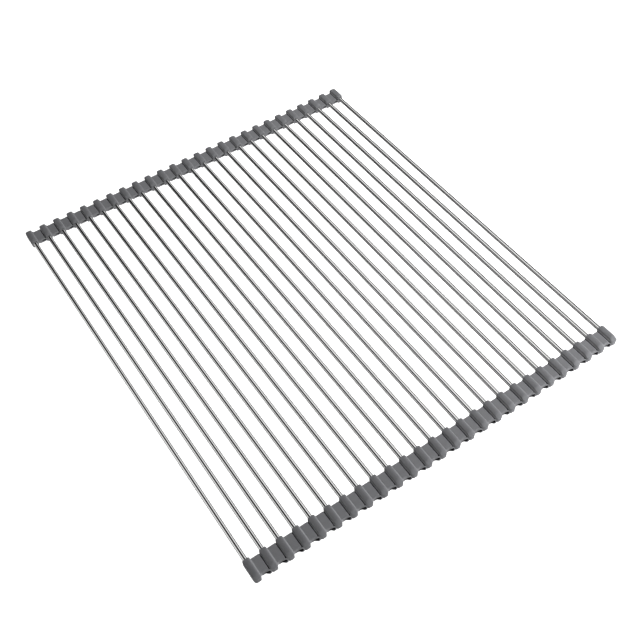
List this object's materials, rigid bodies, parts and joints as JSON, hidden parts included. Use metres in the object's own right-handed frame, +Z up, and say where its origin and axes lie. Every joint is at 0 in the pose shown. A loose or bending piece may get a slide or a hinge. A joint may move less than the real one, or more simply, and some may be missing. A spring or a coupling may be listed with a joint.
{
  "type": "roll up dish drying rack",
  "caption": "Roll up dish drying rack: straight steel tubes side by side, held at both ends by flexible rubber strips with raised sleeves.",
  "frame": {"origin": "on the surface that the rack stands on, under the middle of the rack", "axes": "+X along the strips towards the end that rolls up first, +Y along the tubes, away from the viewer of the picture, +Z up"},
  "size_m": [0.3814, 0.4416, 0.0089],
  "materials": {
    "polished_tube": "polished",
    "strip_rubber": "matte"
  },
  "bodies": {
    "section_01": {"near_link_01": "strip_rubber", "far_link_01": "strip_rubber", "rod_01": "polished_tube", "rod_02": "polished_tube"},
    "section_02": {"near_link_02": "strip_rubber", "far_link_02": "strip_rubber", "rod_03": "polished_tube", "rod_04": "polished_tube"},
    "section_03": {"near_link_03": "strip_rubber", "far_link_03": "strip_rubber", "rod_05": "polished_tube", "rod_06": "polished_tube"},
    "section_04": {"near_link_04": "strip_rubber", "far_link_04": "strip_rubber", "rod_07": "polished_tube", "rod_08": "polished_tube"},
    "section_05": {"near_link_05": "strip_rubber", "far_link_05": "strip_rubber", "rod_09": "polished_tube", "rod_10": "polished_tube"},
    "section_06": {"near_link_06": "strip_rubber", "far_link_06": "strip_rubber", "rod_11": "polished_tube", "rod_12": "polished_tube"},
    "section_07": {"near_link_07": "strip_rubber", "far_link_07": "strip_rubber", "rod_13": "polished_tube", "rod_14": "polished_tube"},
    "section_08": {"near_link_08": "strip_rubber", "far_link_08": "strip_rubber", "rod_15": "polished_tube", "rod_16": "polished_tube"},
    "section_09": {"near_link_09": "strip_rubber", "far_link_09": "strip_rubber", "rod_17": "polished_tube", "rod_18": "polished_tube"},
    "section_10": {"near_link_10": "strip_rubber", "far_link_10": "strip_rubber", "rod_19": "polished_tube"},
    "section_11": {"near_link_11": "strip_rubber", "far_link_11": "strip_rubber", "rod_20": "polished_tube"},
    "section_12": {"near_link_12": "strip_rubber", "far_link_12": "strip_rubber", "rod_21": "polished_tube"},
    "section_13": {"near_link_13": "strip_rubber", "far_link_13": "strip_rubber", "rod_22": "polished_tube"},
    "section_14": {"near_link_14": "strip_rubber", "far_link_14": "strip_rubber", "rod_23": "polished_tube"},
    "section_15": {"near_link_15": "strip_rubber", "far_link_15": "strip_rubber", "rod_24": "polished_tube"},
    "section_16": {"near_link_16": "strip_rubber", "far_link_16": "strip_rubber", "rod_25": "polished_tube"},
    "section_17": {"near_link_17": "strip_rubber", "far_link_17": "strip_rubber", "rod_26": "polished_tube"}
  },
  "joints": [
    {"name": "bend_01", "type": "hinge", "parent": "section_01", "child": "section_02", "pos_m": [-0.1621, 0, 0.0025], "axis": [0, -1, 0], "range_deg": [-6, 38.2]},
    {"name": "bend_02", "type": "hinge", "parent": "section_02", "child": "section_03", "pos_m": [-0.1321, 0, 0.0025], "axis": [0, -1, 0], "range_deg": [-6.4, 39.7]},
    {"name": "bend_03", "type": "hinge", "parent": "section_03", "child": "section_04", "pos_m": [-0.1021, 0, 0.0025], "axis": [0, -1, 0], "range_deg": [-6.6, 41.3]},
    {"name": "bend_04", "type": "hinge", "parent": "section_04", "child": "section_05", "pos_m": [-0.0721, 0, 0.0025], "axis": [0, -1, 0], "range_deg": [-6.9, 43]},
    {"name": "bend_05", "type": "hinge", "parent": "section_05", "child": "section_06", "pos_m": [-0.0421, 0, 0.0025], "axis": [0, -1, 0], "range_deg": [-7.2, 45]},
    {"name": "bend_06", "type": "hinge", "parent": "section_06", "child": "section_07", "pos_m": [-0.0121, 0, 0.0025], "axis": [0, -1, 0], "range_deg": [-7.5, 47.2]},
    {"name": "bend_07", "type": "hinge", "parent": "section_07", "child": "section_08", "pos_m": [0.0179, 0, 0.0025], "axis": [0, -1, 0], "range_deg": [-8, 49.9]},
    {"name": "bend_08", "type": "hinge", "parent": "section_08", "child": "section_09", "pos_m": [0.0479, 0, 0.0025], "axis": [0, -1, 0], "range_deg": [-8.5, 53]},
    {"name": "bend_09", "type": "hinge", "parent": "section_09", "child": "section_10", "pos_m": [0.0779, 0, 0.0025], "axis": [0, -1, 0], "range_deg": [-6.8, 42.7]},
    {"name": "bend_10", "type": "hinge", "parent": "section_10", "child": "section_11", "pos_m": [0.0929, 0, 0.0025], "axis": [0, -1, 0], "range_deg": [-4.8, 29.6]},
    {"name": "bend_11", "type": "hinge", "parent": "section_11", "child": "section_12", "pos_m": [0.1079, 0, 0.0025], "axis": [0, -1, 0], "range_deg": [-5, 30.9]},
    {"name": "bend_12", "type": "hinge", "parent": "section_12", "child": "section_13", "pos_m": [0.1229, 0, 0.0025], "axis": [0, -1, 0], "range_deg": [-5.2, 32.4]},
    {"name": "bend_13", "type": "hinge", "parent": "section_13", "child": "section_14", "pos_m": [0.1379, 0, 0.0025], "axis": [0, -1, 0], "range_deg": [-5.5, 34.1]},
    {"name": "bend_14", "type": "hinge", "parent": "section_14", "child": "section_15", "pos_m": [0.1529, 0, 0.0025], "axis": [0, -1, 0], "range_deg": [-5.8, 36]},
    {"name": "bend_15", "type": "hinge", "parent": "section_15", "child": "section_16", "pos_m": [0.1679, 0, 0.0025], "axis": [0, -1, 0], "range_deg": [-6.2, 38.4]},
    {"name": "bend_16", "type": "hinge", "parent": "section_16", "child": "section_17", "pos_m": [0.1829, 0, 0.0025], "axis": [0, -1, 0], "range_deg": [-6.6, 41.3]}
  ],
  "couplings": [
    {"joint": "bend_02", "follows": "bend_01", "ratio": 1.036},
    {"joint": "bend_03", "follows": "bend_01", "ratio": 1.0762},
    {"joint": "bend_04", "follows": "bend_01", "ratio": 1.1214},
    {"joint": "bend_05", "follows": "bend_01", "ratio": 1.1729},
    {"joint": "bend_06", "follows": "bend_01", "ratio": 1.2322},
    {"joint": "bend_07", "follows": "bend_01", "ratio": 1.3014},
    {"joint": "bend_08", "follows": "bend_01", "ratio": 1.3839},
    {"joint": "bend_09", "follows": "bend_01", "ratio": 1.1132},
    {"joint": "bend_10", "follows": "bend_01", "ratio": 0.7717},
    {"joint": "bend_11", "follows": "bend_01", "ratio": 0.8052},
    {"joint": "bend_12", "follows": "bend_01", "ratio": 0.8434},
    {"joint": "bend_13", "follows": "bend_01", "ratio": 0.8876},
    {"joint": "bend_14", "follows": "bend_01", "ratio": 0.9395},
    {"joint": "bend_15", "follows": "bend_01", "ratio": 1.0018},
    {"joint": "bend_16", "follows": "bend_01", "ratio": 1.0784}
  ]
}
